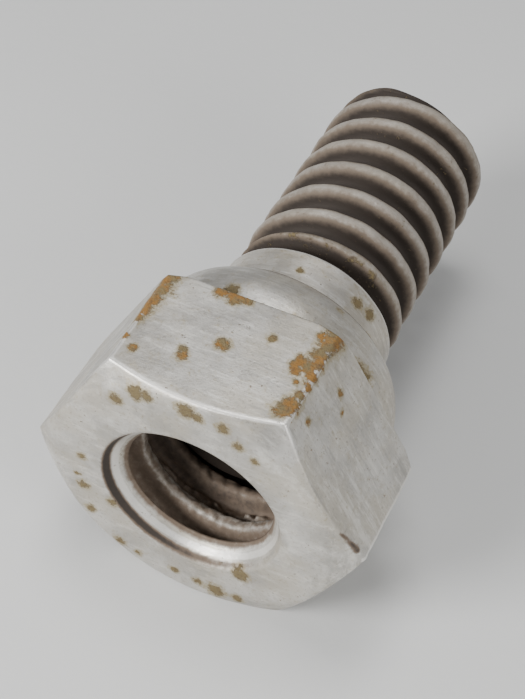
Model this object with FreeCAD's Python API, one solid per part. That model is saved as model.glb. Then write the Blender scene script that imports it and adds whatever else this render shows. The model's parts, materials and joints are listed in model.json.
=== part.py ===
"""Threaded stud with a chamfered hexagon nut that carries a captive rounded washer.

The stud's long thread, plain shank and short inner thread are one piece. The nut is screwed on the
short inner thread up to the shank, so its open front shows the stud's end recessed in its bore.
All sizes are millimetres. Each piece is drawn on its own +Z axis and turned at the end, so that
the common axis lies along +Y, with the nut's front face at Y = 0 and two of its flats level.
"""

import FreeCAD, Part
import math
import os

from FreeCAD import Vector

# ---- driving dimensions ----
THREAD_R = 6.0                     # half the nominal diameter of the round thread
PITCH = 2.54                       # ten threads to the inch
ACROSS_FLATS = 19.0                # hexagon width
HEX_LENGTH = 8.6                   # front face to back face of the hexagon
SHOULDER_Y = 12.45                 # where the plain shank begins, inside the nut's skirt
SHANK_END_Y = 16.8                 # rim of the plain shank
TIP_Y = 35.3                       # end of the long thread
STUD_HEAD_Y = 6.0                  # recessed inner end of the stud

# ---- round thread form, in shares of the pitch ----
DEPTH = 0.5 * PITCH                # bolt thread depth
NUT_GAP = 0.05 * PITCH             # clearance of the nut over the bolt's crest and root
BOLT_ROUND = 0.23851 * PITCH       # radius of the bolt's crest and root
NUT_ROOT_ROUND = 0.25597 * PITCH
NUT_CREST_ROUND = 0.22105 * PITCH
NUT_MINOR_R = THREAD_R - DEPTH + NUT_GAP
FLANK_GAP = 0.06                   # each side, between the nut's and the short thread's flanks
CREST_LAND = 0.08                  # half the narrow flat that is left on each crest

# ---- where the threads start: height of a crest on the +X side ----
OUTER_CREST_Y = 18.89
NUT_CREST_Y = 2.40

# ---- nut ----
HEX_FRONT_CHAMFER_R = 9.2          # circle that the chamfer leaves on the front face
HEX_BACK_CHAMFER_R = 10.35         # and on the back face, where only the corners are broken
HEX_CHAMFER_DEG = 30.0
MOUTH_RIM_R = 5.98                 # the mouth opens at this radius,
MOUTH_STEP_R, MOUTH_STEP_Y = 5.62, 0.5   # falls steeply to a step,
MOUTH_LIP_R, MOUTH_LIP_Y = 5.12, 1.05    # rolls over a rounded lip
MOUTH_LIP_BULGE = 0.09
THREAD_START_Y = 1.40              # and meets the thread here
SKIRT_R, SKIRT_END_Y = 7.0, 12.9   # the washer turns on this skirt behind the hexagon
SKIRT_BORE_R, SKIRT_BORE_Y = 6.35, 12.4
BEAD_R, BEAD_Y, BEAD_HALF = 7.3, 10.9, 0.5

# ---- rounded washer ----
WASHER_CROWN = [(8.35, 8.65), (8.66, 9.3), (8.8, 10.3), (8.62, 11.35), (8.15, 12.35), (7.5, 13.0)]
WASHER_BORE_R = 7.09
WASHER_GROOVE_R, WASHER_GROOVE_HALF = 7.4, 0.62
WASHER_EDGE = 0.15

# ---- stud ----
SHANK_R = 6.06
SHANK_NECK_R, SHANK_NECK_Y = 5.9, 13.05   # thinner end of the shank, inside the nut's skirt
SHANK_RIM_CHAMFER = 0.18
RELIEF_LENGTH, RELIEF_RUNOUT = 0.9, 0.5
SHORT_RELIEF_LENGTH, SHORT_RELIEF_RUNOUT = 0.6, 0.24
RELIEF_DEPTH = 0.07                # how far a relief groove is sunk below the thread's root
TIP_CHAMFER_R, TIP_CHAMFER_LENGTH = 5.6, 0.4
HEAD_CHAMFER_R, HEAD_CHAMFER_LENGTH = 4.45, 1.3
HEAD_SOCKET_FLATS, HEAD_SOCKET_DEPTH = 4.0, 2.2

PAST = 1.0                         # how far cutters and joined blanks run past a face


def outline(points):
    """Straight edges through (radius, height) points."""
    corners = [Vector(radius, 0, height) for radius, height in points]
    return [Part.makeLine(a, b) for a, b in zip(corners, corners[1:])]


def revolve(edges):
    """Turn a closed outline about the Z axis."""
    wire = Part.Wire(Part.__sortEdges__(edges))
    return Part.Face(wire).revolve(Vector(), Vector(0, 0, 1), 360)


def lathe(points):
    """Turn a closed straight-sided outline of (radius, height) points about the Z axis."""
    return revolve(outline(points + points[:1]))


def cylinder(radius, low, high):
    return Part.makeCylinder(radius, high - low, Vector(0, 0, low))


def hexagon(across_flats, low, high):
    """Hexagonal prism with two flats facing along local Y."""
    corner = Vector(across_flats / math.sqrt(3), 0, low)
    turn = FreeCAD.Rotation(Vector(0, 0, 1), 60)
    points = [corner]
    for _ in range(6):
        points.append(turn.multVec(points[-1]))
    points[-1] = corner
    return Part.Face(Part.makePolygon(points)).extrude(Vector(0, 0, high - low))


def groove_outline(deep, deep_round, tip, tip_round):
    """Closed outline of the helical tool that cuts one round thread groove, centred on height 0.

    deep is the radius of the groove's bottom and tip the radius of the crests on each side of it,
    so deep is the smaller on a bolt and the larger in a nut. The flanks touch both rounds.
    """
    outward = 1 if tip > deep else -1
    land = math.asin(CREST_LAND / tip_round)
    bottom = Vector(deep + outward * deep_round, 0, 0)
    top = Vector(tip - outward * tip_round * math.cos(land), 0, PITCH / 2)
    between = top - bottom
    lean = math.asin((deep_round + tip_round) / between.Length)
    flank = math.atan2(between.z, outward * between.x) - lean
    beyond = tip + outward * PAST
    half_gap = PITCH / 2 - CREST_LAND

    def on_round(centre, radius, angle, side):
        return Vector(centre.x + outward * radius * math.cos(angle), 0,
                      side * (centre.z + radius * math.sin(angle)))

    def arc(centre, radius, start, end, side):
        points = [on_round(centre, radius, angle, side) for angle in (start, (start + end) / 2, end)]
        return Part.Arc(*points).toShape()

    edges = outline([(beyond, half_gap), (beyond, -half_gap)])
    for side in (1, -1):
        edges += [
            arc(bottom, deep_round, math.pi, flank + math.pi / 2, side),
            Part.makeLine(on_round(bottom, deep_round, flank + math.pi / 2, side),
                          on_round(top, tip_round, flank - math.pi / 2, side)),
            arc(top, tip_round, flank - math.pi / 2, -land, side),
            Part.makeLine(Vector(tip, 0, side * half_gap), Vector(beyond, 0, side * half_gap)),
        ]
    return edges


def groove_tool(deep, deep_round, tip, tip_round, low, high, crest_height):
    """Right-hand helical cutter reaching past low and high, with a crest at crest_height on +X."""
    start = crest_height - PITCH / 2
    start -= PITCH * math.ceil((start - low) / PITCH + 1)
    turns = math.ceil((high - start) / PITCH + 1)
    section = Part.Wire(Part.__sortEdges__(groove_outline(deep, deep_round, tip, tip_round)))
    helix = Part.Wire(Part.makeHelix(PITCH, turns * PITCH, (deep + tip) / 2))
    tool = helix.makePipeShell([section], True, True)
    tool.translate(Vector(0, 0, start))
    return tool


def bolt_groove(low, high, crest_height, gap):
    """Groove of an outside thread from below low to above high, thinned by gap on every flank."""
    crest = THREAD_R - gap
    return groove_tool(crest - DEPTH, BOLT_ROUND + gap, crest, BOLT_ROUND - gap, low, high, crest_height)


def nut_groove(low, high, crest_height):
    """Groove of the nut's inside thread, kept between low and high."""
    tool = groove_tool(THREAD_R + NUT_GAP, NUT_ROOT_ROUND, NUT_MINOR_R, NUT_CREST_ROUND, low, high,
                       crest_height)
    return tool.common(cylinder(SKIRT_R + PAST, low, high))


def hexagon_blank():
    """Hexagon with every corner chamfered, deeply on the front face and slightly on the back."""
    slope = math.tan(math.radians(HEX_CHAMFER_DEG))
    corner = ACROSS_FLATS / math.sqrt(3) + PAST
    turned = lathe([
        (0, 0), (HEX_FRONT_CHAMFER_R, 0), (corner, (corner - HEX_FRONT_CHAMFER_R) * slope),
        (corner, HEX_LENGTH - (corner - HEX_BACK_CHAMFER_R) * slope),
        (HEX_BACK_CHAMFER_R, HEX_LENGTH), (0, HEX_LENGTH)])
    return hexagon(ACROSS_FLATS, 0, HEX_LENGTH).common(turned)


def hex_nut():
    """Chamfered hexagon with a skirt for the washer, threaded from its mouth to the shank's seat."""
    skirt = lathe([
        (0, HEX_LENGTH - PAST), (SKIRT_R, HEX_LENGTH - PAST), (SKIRT_R, BEAD_Y - BEAD_HALF),
        (BEAD_R, BEAD_Y - BEAD_HALF / 3), (BEAD_R, BEAD_Y + BEAD_HALF / 3),
        (SKIRT_R, BEAD_Y + BEAD_HALF), (SKIRT_R, SKIRT_END_Y), (0, SKIRT_END_Y)])
    body = hexagon_blank().fuse(skirt).removeSplitter()

    step, lip_end = Vector(MOUTH_STEP_R, 0, MOUTH_STEP_Y), Vector(MOUTH_LIP_R, 0, MOUTH_LIP_Y)
    lip_middle = (step + lip_end) / 2 - Vector(MOUTH_LIP_BULGE, 0, MOUTH_LIP_BULGE)
    mouth = outline([
        (MOUTH_LIP_R, MOUTH_LIP_Y), (NUT_MINOR_R, THREAD_START_Y), (0, THREAD_START_Y), (0, -PAST),
        (MOUTH_RIM_R, -PAST), (MOUTH_RIM_R, 0), (MOUTH_STEP_R, MOUTH_STEP_Y)])
    body = body.cut(revolve(mouth + [Part.Arc(step, lip_middle, lip_end).toShape()]))
    body = body.cut(cylinder(NUT_MINOR_R, 0, SKIRT_END_Y + PAST))
    body = body.cut(cylinder(SKIRT_BORE_R, SKIRT_BORE_Y, SKIRT_END_Y + PAST))
    # the thread is cut from behind and stops short of the lip
    return body.cut(nut_groove(THREAD_START_Y, SHOULDER_Y + PITCH, NUT_CREST_Y))


def round_washer():
    """Thick washer with a barrel-shaped outside, held on the nut's skirt by a bead in its groove."""
    crown = Part.BSplineCurve()
    crown.interpolate([Vector(radius, 0, height) for radius, height in WASHER_CROWN])
    front, back = WASHER_CROWN[0][1], WASHER_CROWN[-1][1]
    inside = outline([
        WASHER_CROWN[-1], (WASHER_BORE_R + WASHER_EDGE, back), (WASHER_BORE_R, back - WASHER_EDGE),
        (WASHER_BORE_R, BEAD_Y + WASHER_GROOVE_HALF),
        (WASHER_GROOVE_R, BEAD_Y + WASHER_GROOVE_HALF / 3),
        (WASHER_GROOVE_R, BEAD_Y - WASHER_GROOVE_HALF / 3),
        (WASHER_BORE_R, BEAD_Y - WASHER_GROOVE_HALF),
        (WASHER_BORE_R, front + WASHER_EDGE), (WASHER_BORE_R + WASHER_EDGE, front), WASHER_CROWN[0]])
    return revolve([crown.toShape()] + inside)


def stud():
    """Short inner thread, plain shank and long outer thread turned on one bar."""
    short_r = THREAD_R - FLANK_GAP
    relief = THREAD_R - DEPTH - RELIEF_DEPTH
    short_relief = short_r - DEPTH - RELIEF_DEPTH
    bar = lathe([
        (0, STUD_HEAD_Y), (HEAD_CHAMFER_R, STUD_HEAD_Y), (short_r, STUD_HEAD_Y + HEAD_CHAMFER_LENGTH),
        (short_r, SHOULDER_Y - SHORT_RELIEF_LENGTH - SHORT_RELIEF_RUNOUT),
        (short_relief, SHOULDER_Y - SHORT_RELIEF_LENGTH), (short_relief, SHOULDER_Y),
        # plain shank, with a thinner neck inside the nut's skirt
        (SHANK_NECK_R, SHOULDER_Y), (SHANK_NECK_R, SHANK_NECK_Y),
        (SHANK_R, SHANK_NECK_Y + SHANK_R - SHANK_NECK_R), (SHANK_R, SHANK_END_Y - SHANK_RIM_CHAMFER),
        (SHANK_R - SHANK_RIM_CHAMFER, SHANK_END_Y),
        # relief beside the shank, where the first turn fades in, then the thread and its tip
        (relief, SHANK_END_Y), (relief, SHANK_END_Y + RELIEF_LENGTH),
        (THREAD_R, SHANK_END_Y + RELIEF_LENGTH + RELIEF_RUNOUT),
        (THREAD_R, TIP_Y - TIP_CHAMFER_LENGTH), (TIP_CHAMFER_R, TIP_Y), (0, TIP_Y)])

    # each groove stops inside the relief beside the shank
    long_groove = bolt_groove(SHANK_END_Y, TIP_Y, OUTER_CREST_Y, 0)
    long_keep = cylinder(2 * THREAD_R, SHANK_END_Y + RELIEF_LENGTH / 2, TIP_Y + 2 * PITCH)
    bar = bar.cut(long_groove.common(long_keep))
    # the short thread is in mesh with the nut: its crests lie half a pitch from the nut's crests
    short_groove = bolt_groove(STUD_HEAD_Y, SHOULDER_Y, NUT_CREST_Y + PITCH / 2, FLANK_GAP)
    short_keep = cylinder(2 * THREAD_R, STUD_HEAD_Y - 2 * PITCH, SHOULDER_Y - SHORT_RELIEF_LENGTH / 2)
    bar = bar.cut(short_groove.common(short_keep))
    return bar.cut(hexagon(HEAD_SOCKET_FLATS, STUD_HEAD_Y - PAST, STUD_HEAD_Y + HEAD_SOCKET_DEPTH))


def in_row_frame(shape):
    """Lay the +Z axis down along +Y."""
    turned = shape.copy()
    turned.rotate(Vector(), Vector(1, 0, 0), -90)
    return turned


os.makedirs("parts", exist_ok=True)
for name, make in (("stud", stud), ("round_washer", round_washer), ("hex_nut", hex_nut)):
    piece = in_row_frame(make())
    print(name, "solids", len(piece.Solids), "valid", piece.isValid(), "volume", round(piece.Volume, 2))
    piece.Solids[0].exportStep(f"parts/{name}.step")
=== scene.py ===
"""Looks of the stud, captive washer and hexagon nut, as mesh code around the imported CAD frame."""

import json
import math

import bpy
import numpy as np
from mathutils import Matrix, Vector, noise


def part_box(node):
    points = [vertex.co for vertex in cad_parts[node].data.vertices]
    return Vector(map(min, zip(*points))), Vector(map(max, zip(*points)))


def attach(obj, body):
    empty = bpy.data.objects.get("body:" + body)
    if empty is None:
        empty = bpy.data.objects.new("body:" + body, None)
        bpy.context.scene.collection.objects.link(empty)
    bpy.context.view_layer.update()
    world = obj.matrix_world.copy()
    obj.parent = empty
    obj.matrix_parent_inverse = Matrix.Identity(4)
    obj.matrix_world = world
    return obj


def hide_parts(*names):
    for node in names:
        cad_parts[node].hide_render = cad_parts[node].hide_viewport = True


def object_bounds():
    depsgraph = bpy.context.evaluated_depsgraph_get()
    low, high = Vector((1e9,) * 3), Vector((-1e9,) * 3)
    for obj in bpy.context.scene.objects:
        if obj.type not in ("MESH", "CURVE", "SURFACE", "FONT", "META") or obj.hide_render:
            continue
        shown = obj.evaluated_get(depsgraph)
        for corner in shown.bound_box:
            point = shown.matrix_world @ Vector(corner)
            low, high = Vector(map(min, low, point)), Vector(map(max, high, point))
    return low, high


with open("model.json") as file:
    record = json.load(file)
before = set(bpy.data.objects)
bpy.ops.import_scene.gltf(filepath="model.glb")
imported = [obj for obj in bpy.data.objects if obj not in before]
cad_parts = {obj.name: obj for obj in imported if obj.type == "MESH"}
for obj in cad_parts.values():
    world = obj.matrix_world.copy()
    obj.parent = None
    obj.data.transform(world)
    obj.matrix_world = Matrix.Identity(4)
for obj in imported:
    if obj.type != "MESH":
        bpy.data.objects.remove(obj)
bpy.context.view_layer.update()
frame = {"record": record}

MM = 0.001

# ---- sizes in millimetres, from the frame ----
screw = frame["record"]["behaviour"]["couplings"][0]
mounts = {m["name"]: m for m in frame["record"]["mounts"]}
PITCH = 2 * math.pi / screw["ratio"] / MM
THREAD_R = mounts["outer_thread"]["dims"]["r_mm"]
TIP_Y = mounts["outer_thread"]["pos_m"][1] / MM
SHANK_R = mounts["plain_shank"]["dims"]["r_mm"]
HEAD_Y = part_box("stud")[0].y / MM
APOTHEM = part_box("hex_nut")[1].z / MM
SKIRT_END_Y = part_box("hex_nut")[1].y / MM
WASHER_FRONT_Y, WASHER_BACK_Y = (corner.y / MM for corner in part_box("round_washer"))
WASHER_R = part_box("round_washer")[1].z / MM

# ---- round thread: depth, rounds and gaps, and where a crest stands at angle 0 ----
DEPTH = 0.5 * PITCH
BOLT_ROUND = 0.23851 * PITCH
NUT_ROOT_ROUND, NUT_CREST_ROUND = 0.25597 * PITCH, 0.22105 * PITCH
NUT_GAP = 0.05 * PITCH
FLANK_GAP = 0.06
OUTER_CREST_Y, NUT_CREST_Y = 18.89, 2.40

# ---- nut: its outline from the mouth to the recess in the skirt's end, then its bore and lip ----
MOUTH_R = 5.98
FRONT_CHAMFER_R, BACK_CHAMFER_R = 9.2, 10.35
CHAMFER_SLOPE = math.tan(math.radians(30))
CORNER_ROUND = 0.22
HEX_LENGTH = WASHER_FRONT_Y - 0.05
SKIRT_R = 7.0
BEAD_R, BEAD_FOOT, BEAD_TOP = 7.3, (10.4, 11.4), (10.75, 11.05)
RECESS_R, RECESS_Y = 6.35, 12.4
BORE_R = THREAD_R - DEPTH + NUT_GAP
LIP_Y = 1.40

# ---- washer's bore, with the groove for the nut's bead ----
WASHER_BORE_R, GROOVE_R = 7.09, 7.4
GROOVE_MOUTH, GROOVE_FLOOR = (10.28, 11.52), (10.7, 11.1)

# ---- stud: thread ends, shank and key socket; a relief runs to full depth or out over its span ----
SHOULDER_Y, SHANK_END_Y = 12.45, 16.8
HEAD_END_R, HEAD_TAPER = 4.45, 1.3
INNER_RELIEF_R, INNER_RELIEF_SPAN = 4.6, (0.84, 0.6)
LONG_RELIEF_R, LONG_RELIEF_SPAN = 4.66, (0.9, 1.4)
NECK_R, NECK_END_Y, NECK_TAPER = 5.9, 13.05, 0.16
SHANK_EDGE = 0.18
TIP_CHAMFER_R, TIP_CHAMFER = 5.6, 0.4
SOCKET_APOTHEM, SOCKET_DEPTH, SOCKET_CORNER = 2.0, 2.2, 0.05

# ---- mesh: steps around a round piece, along a flat and over a corner, and along an outline ----
ROUND_STEPS = 300
FLAT_STEPS, CORNER_STEPS = 60, 8
OUTLINE_STEP = 0.2

# ---- camera and lights: places in millimetres, light sizes in millimetres and powers in watts ----
CAMERA_AT = (24.63, -45.52, 73.07)
CAMERA_AIM = (-1.31, 12.89, 0.10)
CAMERA_ROLL = 1.84
CAMERA_LENS = 77.25
LIGHTS = (
    ("key", (-110, -135, 105), 90, 0.56),
    ("top", (-20, 40, 200), 80, 0.2),
    ("fill", (170, -60, 90), 90, 0.16))
LIGHT_AIM = (0, 12, 0)

# ---- colours that both finishes share ----
# the second colour below is the bright one for worn edges and for painted highlights
STREAK_PALE, WORN_AND_HIGHLIGHT = (0.78, 0.76, 0.71), (0.80, 0.78, 0.74)
STAIN = (0.38, 0.315, 0.19)
RUST_OLIVE, RUST_ORANGE = (0.165, 0.125, 0.058), (0.25, 0.125, 0.028)
RUST_RIM, RUST_PITS = (0.15, 0.105, 0.055), (0.09, 0.055, 0.03)


def smooth_min(a, b, soft):
    """The smaller of two arrays, blended over the width soft where they cross."""
    h = np.clip(0.5 + 0.5 * (b - a) / soft, 0, 1)
    return b + (a - b) * h - soft * h * (1 - h)


def bump_at(distance, reach):
    """1 where distance is 0, falling smoothly to 0 at reach."""
    t = np.clip(1 - np.abs(distance) / reach, 0, 1)
    return t * t * (3 - 2 * t)


def lead(angles):
    """How far a right-hand thread's crest has moved along the axis at each angle."""
    return PITCH * -angles / (2 * math.pi)


def thread_radius(height, crest, crest_round, root, root_round):
    """Radius of a round thread at each height from a crest; in a nut the crest is the smaller radius."""
    side = 1.0 if crest > root else -1.0
    u = np.abs((height / PITCH + 0.5) % 1.0 - 0.5) * PITCH
    top, low = crest - side * crest_round, root + side * root_round
    reach = math.hypot(PITCH / 2, side * (top - low))
    lean = math.asin((crest_round + root_round) / reach) + math.atan2(side * (top - low), PITCH / 2)
    # lean is the flank's angle from the axis; the rounds meet it at these distances from the crest
    crest_end = crest_round * math.sin(lean)
    root_end = PITCH / 2 - root_round * math.sin(lean)
    crest_level = top + side * crest_round * math.cos(lean)
    root_level = low - side * root_round * math.cos(lean)
    share = np.clip((u - crest_end) / max(root_end - crest_end, 1e-6), 0, 1)
    flank = crest_level + (root_level - crest_level) * share
    on_crest = top + side * np.sqrt(np.maximum(crest_round ** 2 - np.minimum(u, crest_end) ** 2, 0))
    v = PITCH / 2 - np.maximum(u, root_end)
    on_root = low - side * np.sqrt(np.maximum(root_round ** 2 - v ** 2, 0))
    return np.where(u < crest_end, on_crest, np.where(u > root_end, on_root, flank))


def hexagon_edge(apothem, corner_round):
    """A rounded corner's centre from the axis, and the angle from mid-flat where the round starts."""
    centre = (apothem - corner_round) / math.cos(math.radians(30))
    return centre, math.atan(centre * math.sin(math.radians(30)) / apothem)


def hexagon_angles(flat_steps, corner_steps, corner_round):
    """Angles about the axis, evenly spaced along each flat and close together at the rounded corners."""
    edge = hexagon_edge(APOTHEM, corner_round)[1]
    sector = [math.atan(math.tan(edge) * (2 * i / flat_steps - 1)) for i in range(flat_steps + 1)]
    corner = math.radians(30) - edge
    sector += [edge + corner * 2 * i / corner_steps for i in range(1, corner_steps)]
    return np.array([math.radians(30 + 60 * k) + a for k in range(6) for a in sector])


def hexagon_radius(angles, apothem, corner_round):
    """Distance from the axis to a hexagon with level flats and rounded corners."""
    centre, edge = hexagon_edge(apothem, corner_round)
    from_flat = angles % math.radians(60) - math.radians(30)
    from_corner = math.radians(30) - np.abs(from_flat)
    flat = apothem / np.cos(from_flat)
    arc = centre * np.cos(from_corner) + np.sqrt(
        np.maximum(corner_round ** 2 - (centre * np.sin(from_corner)) ** 2, 0))
    return np.where(np.abs(from_flat) <= edge, flat, arc)


def rounded_path(corners, spacing, around, arc_steps=4):
    """Outline through (radius, height, round) corners, as (ring, angle) arrays of radius and height.

    A corner's radius and height are numbers or arrays over the around angles. Its round is how far from
    it the curve of arc_steps starts; the two ends have none. The straight runs are divided at about the
    given spacing, so each angle gets the same number of points.
    """
    places = [np.stack([np.broadcast_to(v, around) for v in corner[:2]], axis=-1) for corner in corners]
    path = [places[0]]
    last = places[0]
    for i in range(1, len(places)):
        here = places[i]
        run = here - places[i - 1]
        length = np.linalg.norm(run, axis=-1, keepdims=True)
        cut = corners[i][2]
        arrive = here - run / np.maximum(length, 1e-9) * np.minimum(cut, 0.45 * length)
        steps = max(1, round(float(np.max(np.linalg.norm(arrive - last, axis=-1))) / spacing))
        path += [last + (arrive - last) * s / steps for s in range(1, steps + 1)]
        if cut:
            onward = places[i + 1] - here
            far = np.linalg.norm(onward, axis=-1, keepdims=True)
            leave = here + onward / np.maximum(far, 1e-9) * np.minimum(cut, 0.45 * far)
            for s in range(1, arc_steps + 1):
                t = s / arc_steps
                path.append((1 - t) ** 2 * arrive + 2 * t * (1 - t) * here + t * t * leave)
            last = leave
    points = np.stack(path)
    return points[..., 0], points[..., 1]


def turned(name, radius, height, angles, closed, fields):
    """Mesh of rings about the Y axis, where radius, height and the named fields are (ring, angle) arrays.

    A closed mesh joins its last ring to its first. An open one gets a face across each end.
    """
    rings, around = radius.shape
    points = np.stack([radius * np.cos(angles), height, radius * np.sin(angles)], axis=-1).reshape(-1, 3)
    faces = []
    for i in range(rings if closed else rings - 1):
        a, b = i * around, ((i + 1) % rings) * around
        faces += [(a + j, b + j, b + (j + 1) % around, a + (j + 1) % around) for j in range(around)]
    if not closed:
        faces.append(tuple(range(around)))
        faces.append(tuple(reversed(range((rings - 1) * around, rings * around))))
    mesh = bpy.data.meshes.new(name)
    mesh.from_pydata((points * MM).tolist(), [], faces)
    mesh.update()
    for field, values in fields.items():
        layer = mesh.attributes.new(field, "FLOAT", "POINT")
        layer.data.foreach_set("value", np.broadcast_to(values, radius.shape).astype(np.float32).reshape(-1))
    piece = bpy.data.objects.new(name, mesh)
    bpy.context.scene.collection.objects.link(piece)
    mesh.polygons.foreach_set("use_smooth", [True] * len(mesh.polygons))
    return piece


def rough_field(radius, height, angles, grain, seed):
    """Smooth random values from -1 to 1 over the surface, in lumps of about grain mm."""
    points = zip((radius * np.cos(angles)).ravel(), height.ravel(), (radius * np.sin(angles)).ravel())
    shift = Vector((seed * 7.3, seed * 3.1, seed * 5.7))
    return np.array([noise.noise(Vector(point) / grain + shift) for point in points]).reshape(radius.shape)


def spot_field(radius, height, angles, spots):
    """Largest nearness to any of the (x, y, z, size) spots: 1 at a spot's centre and 0 at twice its size."""
    xs, zs = radius * np.cos(angles), radius * np.sin(angles)
    field = np.zeros_like(radius)
    for x, y, z, size in spots:
        away = np.sqrt((xs - x) ** 2 + (height - y) ** 2 + (zs - z) ** 2)
        field = np.maximum(field, np.clip(1 - away / (2 * size), 0, 1))
    return field


def spots_around(radius, places):
    """Spots on a cylinder about the Y axis, from (height, degrees, size) places."""
    return [(radius * math.cos(math.radians(degrees)), y, radius * math.sin(math.radians(degrees)), size)
            for y, degrees, size in places]


def nut_spots():
    """Rust on the hexagon as spots, from (share of half a face's width, share of its length, size in mm)."""
    half = APOTHEM / math.sqrt(3)
    top_flat = [(-0.02, 0.55, 0.40), (0.39, 0.74, 0.26), (-0.33, 0.34, 0.30), (-0.37, 0.40, 0.24),
                (-0.83, 0.26, 0.26), (0.79, 0.56, 0.32), (-0.20, 0.96, 0.45), (-0.05, 0.97, 0.30),
                (-0.36, 0.97, 0.40)]
    left_edge = [(-1, 0.34, 0.26), (-1, 0.52, 0.40), (-1, 0.62, 0.53), (-1, 0.72, 0.65), (-1, 0.82, 0.71),
                 (-1, 0.93, 0.71)]
    right_edge = [(1, 0.98, 0.66), (0.99, 0.90, 0.62), (0.95, 0.83, 0.55), (0.93, 0.75, 0.50),
                  (0.97, 0.67, 0.42), (0.90, 0.62, 0.42), (0.98, 0.56, 0.36), (1, 0.47, 0.30),
                  (0.97, 0.38, 0.34), (0.95, 0.29, 0.52), (0.89, 0.22, 0.50), (0.78, 0.66, 0.32),
                  (0.74, 0.60, 0.28), (0.84, 0.90, 0.25), (0.86, 0.47, 0.20)]
    spots = [(x * half, y * HEX_LENGTH, APOTHEM, size) for x, y, size in top_flat + left_edge + right_edge]

    # on the front face both shares are of the distance from its middle to a flat
    above_mouth = [(-0.34, 0.90, 0.44), (-0.27, 0.91, 0.32), (-0.48, 0.78, 0.36), (-0.01, 0.92, 0.50),
                   (0.07, 0.90, 0.32), (0.23, 0.89, 0.34), (0.33, 0.78, 0.30), (0.44, 0.70, 0.24)]
    below_mouth = [(-0.77, 0.05, 0.27), (-0.82, -0.16, 0.19), (-0.78, -0.26, 0.34), (-0.57, -0.33, 0.32),
                   (-0.74, -0.50, 0.32), (0.36, -0.56, 0.50), (0.18, -0.87, 0.53), (0.34, -0.86, 0.34),
                   (-0.54, -0.75, 0.34), (-0.13, -0.83, 0.29), (-0.40, -0.80, 0.24), (0.05, -0.85, 0.32)]
    spots += [(x * APOTHEM, 0.1, z * APOTHEM, size) for x, z, size in above_mouth + below_mouth]

    # here the first share is of the flat's whole width, down from its upper corner
    right_flat = [(0.22, 0.70, 0.24), (0.30, 0.62, 0.16), (0.12, 0.30, 0.20)]
    across = Vector((math.sin(math.radians(30)), 0, -math.cos(math.radians(30))))
    for down, y, size in right_flat:
        at = Vector((half, 0, APOTHEM)) + across * down * 2 * half
        spots.append((at.x, y * HEX_LENGTH, at.z, size))
    return spots


def nut_outside(side, front_drop):
    """The nut's outline from the mouth, over the hexagon whose distance is side, to the skirt's recess."""
    back_drop = np.maximum(side - BACK_CHAMFER_R, 0) * CHAMFER_SLOPE
    back_edge = np.minimum(side - 0.12, BACK_CHAMFER_R)
    return rounded_path(
        [(MOUTH_R, 0, 0), (FRONT_CHAMFER_R, 0, 0.5), (side, front_drop, 0.16),
         (side, HEX_LENGTH - back_drop, 0.14), (back_edge, HEX_LENGTH, 0.4),
         (SKIRT_R, HEX_LENGTH, 0.12), (SKIRT_R, BEAD_FOOT[0], 0.05),
         (BEAD_R, BEAD_TOP[0], 0.05), (BEAD_R, BEAD_TOP[1], 0.05), (SKIRT_R, BEAD_FOOT[1], 0.05),
         (SKIRT_R, SKIRT_END_Y, 0.08), (RECESS_R, SKIRT_END_Y, 0.08), (RECESS_R, RECESS_Y, 0)],
        OUTLINE_STEP, len(side))


def nut_inside(angles):
    """The thread from the recess forward, then the lip out to the mouth."""
    heights = np.arange(RECESS_Y - 0.05, LIP_Y + 0.02, -0.11)[:, None]
    from_crest = heights - (NUT_CREST_Y + lead(angles))
    thread = thread_radius(from_crest, BORE_R, NUT_CREST_ROUND, THREAD_R + NUT_GAP, NUT_ROOT_ROUND)
    lip_radius, lip_height = rounded_path(
        [(BORE_R, LIP_Y, 0), (5.12, 1.05, 0.25), (5.62, 0.5, 0.2), (MOUTH_R, 0, 0)], 0.12, len(angles))
    # the last point of the lip is the first of the outside
    return (np.concatenate([thread, lip_radius[:-1]]),
            np.concatenate([np.broadcast_to(heights, thread.shape), lip_height[:-1]]))


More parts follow.
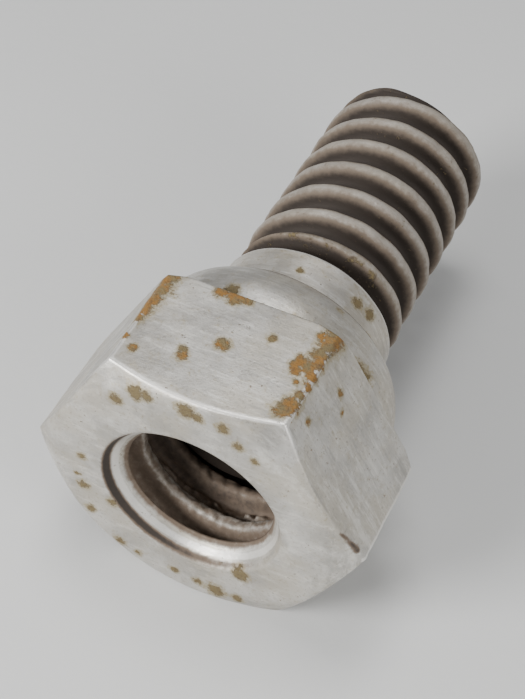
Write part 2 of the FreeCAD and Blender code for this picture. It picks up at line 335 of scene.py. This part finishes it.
def hex_nut():
    angles = hexagon_angles(FLAT_STEPS, CORNER_STEPS, CORNER_ROUND)
    side = hexagon_radius(angles, APOTHEM, CORNER_ROUND)
    front_drop = np.maximum(side - FRONT_CHAMFER_R, 0) * CHAMFER_SLOPE
    outside, inside = nut_outside(side, front_drop), nut_inside(angles)
    radius, height = (np.concatenate(pair) for pair in zip(outside, inside))
    is_inside = (np.arange(len(radius)) >= len(outside[0]))[:, None]
    in_bore = is_inside & (height > LIP_Y - 0.1) & (height < RECESS_Y - 0.1)
    on_lip = is_inside & (height <= LIP_Y - 0.1)

    # worn corners and torn crests
    lumps = rough_field(radius, height, angles, 1.6, 1)
    grit = rough_field(radius, height, angles, 0.45, 2)
    from_corner = side - np.max(side)
    crest = np.clip((THREAD_R + NUT_GAP - radius) / DEPTH, 0, 1) * in_bore
    worn = bump_at(from_corner, 0.5) * (radius > APOTHEM)
    radius = radius - 0.06 * worn * np.clip(0.4 + lumps + 0.5 * grit, 0, 1)
    settled = np.clip((height - 1.6) / 0.9, 0, 1)
    radius = radius + np.where(in_bore, 0.14 * settled * crest * (lumps + grit), 0)

    # scale and swarf caked in the open turns ahead of the stud, in ragged ledges between the crests
    turn = (height - NUT_CREST_Y - lead(angles)) / PITCH % 1.0 - 0.5
    caked = bump_at(turn - 0.06 * lumps, 0.17) * bump_at(height - 3.6, 1.9)
    caked = caked * np.clip(0.75 + 1.2 * lumps + grit, 0, 1.3)
    radius = radius - np.where(in_bore, 0.65 * caked, 0)

    # bright edges, part wear and part painted highlight: the front ones that face up, the long ones, the
    # chamfer's and the lip's; on the lip it is a broad painted highlight
    on_front = (height < 0.06) & ~in_bore
    # faces_up makes the front edges' painted highlight strongest on their upper side, where the light falls
    faces_up = np.clip((np.sin(angles) - 0.72) * 8, 0.35, 1)
    front_edge = faces_up * bump_at(height - front_drop - 0.08, 0.26)
    front_edge = front_edge * (radius > FRONT_CHAMFER_R) * ~is_inside
    long_edge = bump_at(from_corner, 0.16) * (radius > side - 0.25)
    # painted highlight along the chamfer's edge on the front face
    chamfer_edge = bump_at(radius - FRONT_CHAMFER_R, 0.25) * on_front
    edge = np.maximum.reduce([front_edge, long_edge, 0.3 * chamfer_edge])
    # painted highlight as a broad bright band around the lip
    edge = np.maximum(edge, np.where(on_lip, 1.2 * bump_at(height - 0.72, 0.30), 0))

    # grime with painted shade deepening inwards in the bore, painted shade on the shaded side of the mouth
    # and deeper in the lip, a painted shade line at the mouth's rim, painted shade behind the hexagon against
    # the washer, and grime in one long scratch
    torn = bump_at(crest - 0.93, 0.12) * (height > 1.7) * in_bore
    # the bore: grime, plus painted shade that deepens with depth; torn crests and caked ledges get less of it
    soil_and_shade = np.where(in_bore, 0.60 + 0.4 * np.clip((height - 4.0) / 3.0, 0, 1) - 0.24 * torn - 0.22 * caked, 0)
    # painted shade on the lip, strongest on the side turned away from the light
    shaded = 0.62 + 0.38 * np.cos(angles - math.radians(195))
    soil_and_shade = np.where(on_lip, 1.5 * shaded ** 2 * bump_at(height - 0.26, 0.36), soil_and_shade)
    # painted shade deepening down the lip toward the bore
    soil_and_shade = np.where(on_lip, np.maximum(soil_and_shade, 0.62 * np.clip((height - 0.92) / 0.3, 0, 1)), soil_and_shade)
    scratch = [(10.35 - 0.11 * i, 0.85 - 0.05 * i, 0.9 + 0.19 * i, 0.17 - 0.01 * i) for i in range(10)]
    soil_and_shade = np.maximum(soil_and_shade, 1.2 * spot_field(radius, height, angles, scratch))
    # painted shade as a dark line at the mouth's rim, strongest on the shaded side
    rim = bump_at(radius - MOUTH_R, 0.16) * on_front
    # painted shade over the back face and skirt where they sit against the washer
    behind = 0.75 * (height > HEX_LENGTH - 0.25) * (radius < 9.1)
    soil_and_shade = np.maximum(soil_and_shade, np.maximum(0.45 * shaded * rim, behind))

    return turned("hex_nut_body", radius, height, angles, True, {
        "rust": spot_field(radius, height, angles, nut_spots()), "soil_and_shade": soil_and_shade, "edge": edge,
        "orange": np.clip((height - 0.4) / 0.6, 0, 1)})


def round_washer():
    angles = np.linspace(0, 2 * math.pi, ROUND_STEPS, endpoint=False)
    front, back = WASHER_FRONT_Y, WASHER_BACK_Y
    crown = [(8.35, front, 0), (8.66, 9.3, 0.4), (WASHER_R, 10.3, 0.5), (8.62, 11.35, 0.5),
             (8.15, 12.35, 0.4), (7.5, back, 0.12)]
    bore = [(WASHER_BORE_R, back, 0.08), (WASHER_BORE_R, GROOVE_MOUTH[1], 0.05),
            (GROOVE_R, GROOVE_FLOOR[1], 0.05), (GROOVE_R, GROOVE_FLOOR[0], 0.05),
            (WASHER_BORE_R, GROOVE_MOUTH[0], 0.05), (WASHER_BORE_R, front, 0.1)]
    radius, height = rounded_path(crown + bore + crown[:1], OUTLINE_STEP, ROUND_STEPS)
    # the last point is the first again
    radius, height = radius[:-1], height[:-1]
    outside = radius > 7.6
    radius = radius + np.where(outside, 0.03 * (rough_field(radius, height, angles, 1.8, 3) - 1), 0)
    # painted shade where the washer meets the nut and the stud, and over the whole of its hidden bore
    soil_and_shade = np.maximum(0.9 * bump_at(height - front, 0.3), 0.7 * bump_at(height - back, 0.35))
    soil_and_shade = np.where(outside, soil_and_shade, 1.0)
    spots = spots_around(8.6, (
        (9.1, 39, 0.75), (9.0, 48, 0.5), (9.6, 103, 0.42), (8.9, 75, 0.4), (12.3, 60, 0.35)))
    return turned("round_washer_body", radius, height, angles, True, {
        "rust": spot_field(radius, height, angles, spots), "soil_and_shade": soil_and_shade, "edge": np.zeros_like(radius)})


def bar_radius(angles, heights):
    """Radius of the stud's outside: short thread, neck and shank, then long thread to the tip."""
    y = heights[:, 0]
    short_r = THREAD_R - FLANK_GAP
    from_crest = heights - NUT_CREST_Y - PITCH / 2 - lead(angles)
    short_thread = thread_radius(
        from_crest, short_r, BOLT_ROUND - FLANK_GAP, short_r - DEPTH, BOLT_ROUND + FLANK_GAP)
    relief_from, relief_to = (SHOULDER_Y - distance for distance in INNER_RELIEF_SPAN)
    short_blank = np.interp(y, [HEAD_Y, HEAD_Y + HEAD_TAPER, relief_from, relief_to],
                            [HEAD_END_R, short_r, short_r, INNER_RELIEF_R])
    shank = np.interp(y, [NECK_END_Y, NECK_END_Y + NECK_TAPER, SHANK_END_Y - SHANK_EDGE, SHANK_END_Y],
                      [NECK_R, SHANK_R, SHANK_R, SHANK_R - SHANK_EDGE])
    from_crest = heights - OUTER_CREST_Y - lead(angles)
    long_thread = thread_radius(from_crest, THREAD_R, BOLT_ROUND, THREAD_R - DEPTH, BOLT_ROUND)
    relief_from, relief_to = (SHANK_END_Y + distance for distance in LONG_RELIEF_SPAN)
    long_blank = np.interp(y, [relief_from, relief_to, TIP_Y - TIP_CHAMFER, TIP_Y],
                           [LONG_RELIEF_R, THREAD_R, THREAD_R, TIP_CHAMFER_R])
    return np.where(
        heights < SHOULDER_Y, smooth_min(short_thread, short_blank[:, None], 0.08),
        np.where(heights <= SHANK_END_Y, shank[:, None], smooth_min(long_thread, long_blank[:, None], 0.12)))


def crest_cracks():
    """Spots in short rows along the axis, each across one crest of the long thread that faces up."""
    spots = []
    for turns, degrees in ((1, 78), (2, 92), (3, 70), (4, 84), (5, 76), (5, 104), (3, 118)):
        crest_y = OUTER_CREST_Y + PITCH * (turns - degrees / 360)
        spots += spots_around(THREAD_R, [(crest_y + 0.1 * i, degrees, 0.07) for i in range(-4, 6)])
    return spots


def stud():
    angles = np.linspace(0, 2 * math.pi, ROUND_STEPS, endpoint=False)
    heights = np.concatenate([
        np.linspace(HEAD_Y, SHOULDER_Y - 0.02, 70), np.linspace(SHOULDER_Y, SHANK_END_Y, 40),
        np.linspace(SHANK_END_Y + 0.02, TIP_Y, 210)])
    bar = bar_radius(angles, heights[:, None])

    # key socket in the inner end, then the end face around it, the bar, and the plain face of the tip
    socket = hexagon_radius(angles, SOCKET_APOTHEM, SOCKET_CORNER)
    socket_floor = np.linspace(0.03, 1, 10)[:, None] * socket
    wall_heights = np.linspace(HEAD_Y + SOCKET_DEPTH, HEAD_Y, 16)[1:]
    end_face = socket + np.linspace(0, 1, 10)[1:-1, None] * (bar[0] - socket)
    tip = np.linspace(0.98, 0.06, 24)[:, None] * bar[-1]
    radius = np.concatenate([socket_floor, np.tile(socket, (len(wall_heights), 1)), end_face, bar, tip])
    ring_heights = np.concatenate([
        np.full(len(socket_floor), HEAD_Y + SOCKET_DEPTH), wall_heights, np.full(len(end_face), HEAD_Y),
        heights, np.full(len(tip), TIP_Y)])
    height = np.broadcast_to(ring_heights[:, None], radius.shape)

    on_tip = (np.arange(len(radius)) >= len(radius) - len(tip))[:, None]
    on_shank = (height >= SHOULDER_Y) & (height <= SHANK_END_Y)
    on_thread = (height > SHANK_END_Y) & ~on_tip
    crest = np.clip((radius - (THREAD_R - DEPTH)) / DEPTH, 0, 1)
    lumps = rough_field(radius, height, angles, 1.4, 4)
    grit = rough_field(radius, height, angles, 0.5, 5)
    radius = radius - np.where(on_thread, 0.08 * crest * np.clip(0.5 + lumps + 0.25 * grit, 0, 1.6), 0)
    radius = radius - np.where(on_shank, 0.03 * np.clip(0.5 + lumps, 0, 1), 0)

    # grime with painted shade in the roots, painted shade over the short thread hidden in the nut, and
    # painted shade at the shank's two ends
    # the roots darker than the crests: grime with painted shade
    soil_and_shade = np.where(on_thread, 1.15 - 0.80 * crest ** 2, 0.42)
    # darker over the first turns next to the shank
    soil_and_shade = soil_and_shade + 0.3 * on_thread * bump_at(height - SHANK_END_Y, 2.2)
    # painted shade over the short thread and inner end hidden in the nut
    soil_and_shade = np.where(height < SHOULDER_Y, 1.2, soil_and_shade)
    # painted shade where the shank leaves the washer and at its step down to the thread
    shank_end_shade = np.maximum(0.9 * bump_at(height - 13.0, 0.45), 0.25 * bump_at(height - SHANK_END_Y, 0.3))
    soil_and_shade = np.where(on_shank, shank_end_shade, soil_and_shade)
    soil_and_shade = np.maximum(soil_and_shade, 0.85 * spot_field(radius, height, angles, crest_cracks()))
    # bright crest tops and a ring at the shank's end edge: wear with painted highlight
    edge = np.where(on_thread, np.clip((crest - 0.9) * 6, 0, 1), 0)
    edge = edge + on_shank * bump_at(height - SHANK_END_Y + 0.15, 0.3)

    # rust on the shank, and a weaker stain where the long thread begins
    rusted = spots_around(SHANK_R, (
        (15.45, 49, 0.34), (15.6, 38, 0.36), (15.1, 89, 0.2), (18.0, 108, 0.4), (17.7, 96, 0.45),
        (17.8, 84, 0.35), (17.9, 62, 0.45), (18.0, 50, 0.4), (14.2, 30, 0.3)))
    stained = spots_around(5.6, [(17.6, degrees, 0.9) for degrees in range(20, 130, 12)])
    rust = np.maximum(
        spot_field(radius, height, angles, rusted), 0.42 * spot_field(radius, height, angles, stained))
    return turned("stud_body", radius, height, angles, False, {"rust": rust, "soil_and_shade": soil_and_shade, "edge": edge})


class Shader:
    """A material built up in layers of procedural texture, with lengths in millimetres."""

    def __init__(self, name):
        self.material = bpy.data.materials.new(name)
        self.material.use_nodes = True
        self.nodes, self.links = self.material.node_tree.nodes, self.material.node_tree.links
        self.surface = self.nodes["Principled BSDF"]
        self.place = self.nodes.new("ShaderNodeVectorMath")
        self.place.operation = "SCALE"
        self.place.inputs["Scale"].default_value = 1 / MM
        self.links.new(self.nodes.new("ShaderNodeTexCoord").outputs["Object"], self.place.inputs[0])

    def put(self, value, socket):
        """Join a node's output to the socket, or store a constant in it."""
        if isinstance(value, bpy.types.NodeSocket):
            self.links.new(value, socket)
        elif isinstance(value, tuple):
            socket.default_value = (*value, 1)
        else:
            socket.default_value = value

    def field(self, name):
        """The values that the mesh stores under the name."""
        node = self.nodes.new("ShaderNodeAttribute")
        node.attribute_name = name
        return node.outputs["Fac"]

    def noise(self, per_mm, detail=4.0, rough=0.55, stretch=(1, 1, 1), seed=0.0):
        """Noise with per_mm lumps to the millimetre, squeezed or stretched along each axis."""
        mapping = self.nodes.new("ShaderNodeMapping")
        mapping.inputs["Scale"].default_value = stretch
        mapping.inputs["Location"].default_value = (seed, 1.7 * seed, 0.6 * seed)
        self.links.new(self.place.outputs[0], mapping.inputs["Vector"])
        node = self.nodes.new("ShaderNodeTexNoise")
        node.inputs["Scale"].default_value = per_mm
        node.inputs["Detail"].default_value = detail
        node.inputs["Roughness"].default_value = rough
        self.links.new(mapping.outputs[0], node.inputs["Vector"])
        return node.outputs["Fac"]

    def maths(self, operation, a, b):
        node = self.nodes.new("ShaderNodeMath")
        node.operation = operation
        self.put(a, node.inputs[0])
        self.put(b, node.inputs[1])
        return node.outputs[0]

    def plus(self, a, b):
        return self.maths("ADD", a, b)

    def times(self, a, b):
        return self.maths("MULTIPLY", a, b)

    def vary(self, value, texture, amount):
        """The value, raised and lowered by amount times the texture's distance from 0.5."""
        return self.plus(value, self.times(self.maths("SUBTRACT", texture, 0.5), amount))

    def step(self, value, low, high, at_low=0.0, at_high=1.0):
        """at_low below low and at_high above high, eased in between."""
        node = self.nodes.new("ShaderNodeMapRange")
        node.interpolation_type = "SMOOTHSTEP"
        for name, number in (("From Min", low), ("From Max", high), ("To Min", at_low), ("To Max", at_high)):
            node.inputs[name].default_value = number
        self.put(value, node.inputs["Value"])
        return node.outputs["Result"]

    def mix(self, share, a, b):
        """Colour that goes from a to b as share goes from 0 to 1."""
        node = self.nodes.new("ShaderNodeMix")
        node.data_type = "RGBA"
        colours = [socket for socket in node.inputs if socket.type == "RGBA"]
        self.put(share, node.inputs["Factor"])
        self.put(a, colours[0])
        self.put(b, colours[1])
        return next(socket for socket in node.outputs if socket.type == "RGBA")

    def blend(self, share, a, b):
        """Number that goes from a to b as share goes from 0 to 1."""
        node = self.nodes.new("ShaderNodeMix")
        self.put(share, node.inputs["Factor"])
        self.put(a, node.inputs[2])
        self.put(b, node.inputs[3])
        return node.outputs[0]

    def finish(self, colour, metal, rough, relief, depth_mm):
        """The material, with the layers joined to its surface and relief as a bump of depth_mm."""
        self.put(colour, self.surface.inputs["Base Color"])
        self.put(metal, self.surface.inputs["Metallic"])
        self.put(rough, self.surface.inputs["Roughness"])
        bump = self.nodes.new("ShaderNodeBump")
        bump.inputs["Strength"].default_value = 1.0
        bump.inputs["Distance"].default_value = depth_mm * MM
        self.put(relief, bump.inputs["Height"])
        self.links.new(bump.outputs[0], self.surface.inputs["Normal"])
        return self.material


def tinted(colour, factor):
    """The colour made lighter or darker."""
    return tuple(min(1, factor * c) for c in colour)


def worn_plate(name, pale, grey, yellowed, grime_and_shade, darkest_grime_and_shade, brush, frost):
    """Satin plate with cloudy stains, brushing, bright edges of wear and painted highlight, grime and painted
    shade in the recesses and raised rust.

    The colours go from the clean plate's to the darkest of grime and painted shade, brush stretches the brush
    marks along each axis, and frost is how grainy the surface is.
    """
    m = Shader(name)
    clouds = m.noise(0.35, 5, 0.6, seed=3)
    speckle = m.noise(5.5, 4, 0.6, seed=11)
    streaks = m.noise(0.9, 5, 0.75, stretch=(0.25, 2.15, 0.25), seed=17)
    brushed = m.noise(1.4, 6, 0.7, stretch=brush, seed=5)
    grit = m.noise(2.2, 6, 0.65, seed=8)

    # the plate: clouds, yellowing, brush marks, dull speckles, and pale and dark streaks
    colour = m.mix(m.step(clouds, 0.35, 0.65), grey, pale)
    colour = m.mix(m.step(m.noise(0.22, 4, 0.6, seed=27), 0.42, 0.62, 0, 0.6), colour, yellowed)
    colour = m.mix(m.step(brushed, 0.5, 0.75, 0, 0.65), colour, tinted(pale, 1.3))
    colour = m.mix(m.step(speckle, 0.56, 0.7, 0, 0.35 * frost), colour, grime_and_shade)
    colour = m.mix(m.step(streaks, 0.52, 0.66, 0, 0.55), colour, STREAK_PALE)
    colour = m.mix(m.step(streaks, 0.36, 0.44, 0.4, 0), colour, tinted(grey, 0.72))

    # thin stains where the plate is wearing, before the rust breaks through
    ragged = m.vary(grit, m.noise(5.0, 5, 0.75, seed=14), 0.9)
    rust_near = m.vary(m.field("rust"), ragged, 1.05)
    colour = m.mix(m.step(rust_near, 0.02, 0.42, 0, 0.8), colour, STAIN)

    # the edge field brightens toward the worn colour: wear, and painted highlights on edges, crests and the
    # lip
    edge = m.step(m.vary(m.field("edge"), grit, 0.8), 0.3, 0.8)
    colour = m.mix(m.times(edge, 0.75), colour, WORN_AND_HIGHLIGHT)
    # the soil field darkens toward grime and then the darkest tone: grime, and painted shade in recesses,
    # joints and hidden parts
    soil_and_shade = m.vary(m.field("soil_and_shade"), grit, 0.25 + 0.3 * frost)
    colour = m.mix(m.step(soil_and_shade, 0.12, 0.62), colour, grime_and_shade)
    colour = m.mix(m.step(soil_and_shade, 0.55, 1.0), colour, darkest_grime_and_shade)

    # rust: the patches stored on the mesh and a few small specks
    specks = m.times(m.step(m.noise(3.8, 3, 0.5, seed=41), 0.66, 0.70), m.step(clouds, 0.5, 0.62))
    rust = m.maths("MAXIMUM", m.step(rust_near, 0.38, 0.60), m.times(specks, 0.7))
    orange = m.times(m.field("orange"), m.step(m.noise(1.3, 4, 0.6, seed=21), 0.38, 0.6))
    rust_colour = m.mix(orange, RUST_OLIVE, RUST_ORANGE)
    rust_colour = m.mix(m.step(rust_near, 0.42, 0.66, 0.5, 0), rust_colour, RUST_RIM)
    rust_colour = m.mix(m.step(m.noise(4.5, 5, 0.7, seed=33), 0.5, 0.68, 0, 0.75), rust_colour, RUST_PITS)
    colour = m.mix(rust, colour, rust_colour)

    # grime, painted shade and rust are duller than the plate, and rust stands proud of it
    soiled_and_shaded = m.step(soil_and_shade, 0.1, 0.5)
    metal = m.blend(rust, m.blend(soiled_and_shaded, 0.75, 0.25), 0.05)
    rough = m.blend(m.step(brushed, 0.35, 0.7), 0.48, 0.34)
    rough = m.blend(m.step(clouds, 0.4, 0.6), rough, m.plus(rough, 0.08))
    rough = m.blend(soiled_and_shaded, rough, 0.7)
    rough = m.blend(rust, rough, 0.88)
    relief = m.plus(m.times(brushed, 0.12), m.times(grit, 0.35 * frost))
    relief = m.plus(relief, m.times(speckle, 0.12 * frost))
    relief = m.plus(relief, m.times(m.times(rust, speckle), 1.2))
    return m.finish(colour, metal, rough, relief, 0.07)


def floor_material():
    m = Shader("floor_pale")
    tone = m.mix(m.noise(0.02, 3, 0.5), (0.60, 0.60, 0.59), (0.66, 0.66, 0.65))
    return m.finish(tone, 0.0, 0.8, m.noise(0.8, 4, 0.6), 0.02)


def place_camera():
    camera = bpy.data.objects.new("camera", bpy.data.cameras.new("camera"))
    bpy.context.scene.collection.objects.link(camera)
    at, aim = Vector(CAMERA_AT) * MM, Vector(CAMERA_AIM) * MM
    forward = (aim - at).normalized()
    level = forward.cross(Vector((0, 0, 1))).normalized()
    above = level.cross(forward)
    roll = math.radians(CAMERA_ROLL)
    right = level * math.cos(roll) + above * math.sin(roll)
    up = above * math.cos(roll) - level * math.sin(roll)
    camera.matrix_world = Matrix.Translation(at) @ Matrix((right, up, -forward)).transposed().to_4x4()
    camera.data.lens = CAMERA_LENS
    camera.data.clip_start, camera.data.clip_end = 0.005, 10
    bpy.context.scene.camera = camera


def lay_floor():
    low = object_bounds()[0].z
    mesh = bpy.data.meshes.new("floor")
    mesh.from_pydata([(-1, -1, low), (1, -1, low), (1, 1, low), (-1, 1, low)], [], [(0, 1, 2, 3)])
    floor = bpy.data.objects.new("floor", mesh)
    bpy.context.scene.collection.objects.link(floor)
    floor.data.materials.append(floor_material())


def set_lights():
    world = bpy.data.worlds.new("studio")
    world.use_nodes = True
    world.node_tree.nodes["Background"].inputs["Color"].default_value = (0.9, 0.92, 0.95, 1)
    world.node_tree.nodes["Background"].inputs["Strength"].default_value = 0.36
    bpy.context.scene.world = world
    for name, at, size, power in LIGHTS:
        light = bpy.data.objects.new(name, bpy.data.lights.new(name, "AREA"))
        light.data.size = size * MM
        light.data.energy = power
        light.location = Vector(at) * MM
        light.rotation_euler = (Vector(LIGHT_AIM) * MM - light.location).to_track_quat("-Z", "Y").to_euler()
        bpy.context.scene.collection.objects.link(light)


place_camera()
lay_floor()
set_lights()
plated = worn_plate(
    "plated", pale=(0.61, 0.59, 0.55), grey=(0.43, 0.41, 0.375), yellowed=(0.53, 0.485, 0.40),
    grime_and_shade=(0.17, 0.125, 0.09), darkest_grime_and_shade=(0.045, 0.035, 0.028), brush=(0.25, 2.5, 1), frost=1.0)
threaded = worn_plate(
    "threaded", pale=(0.60, 0.57, 0.52), grey=(0.45, 0.42, 0.37), yellowed=(0.52, 0.47, 0.38),
    grime_and_shade=(0.145, 0.11, 0.08), darkest_grime_and_shade=(0.03, 0.021, 0.015), brush=(1, 3, 1), frost=0.3)
for make, node, body, slot, finish in ((stud, "stud", "stud", "worn_thread_steel", threaded),
                                       (round_washer, "round_washer", "washer", "plated_steel", plated),
                                       (hex_nut, "hex_nut", "nut", "plated_steel", plated)):
    piece = make()
    piece.data.materials.append(finish)
    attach(piece, body)
    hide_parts(node)
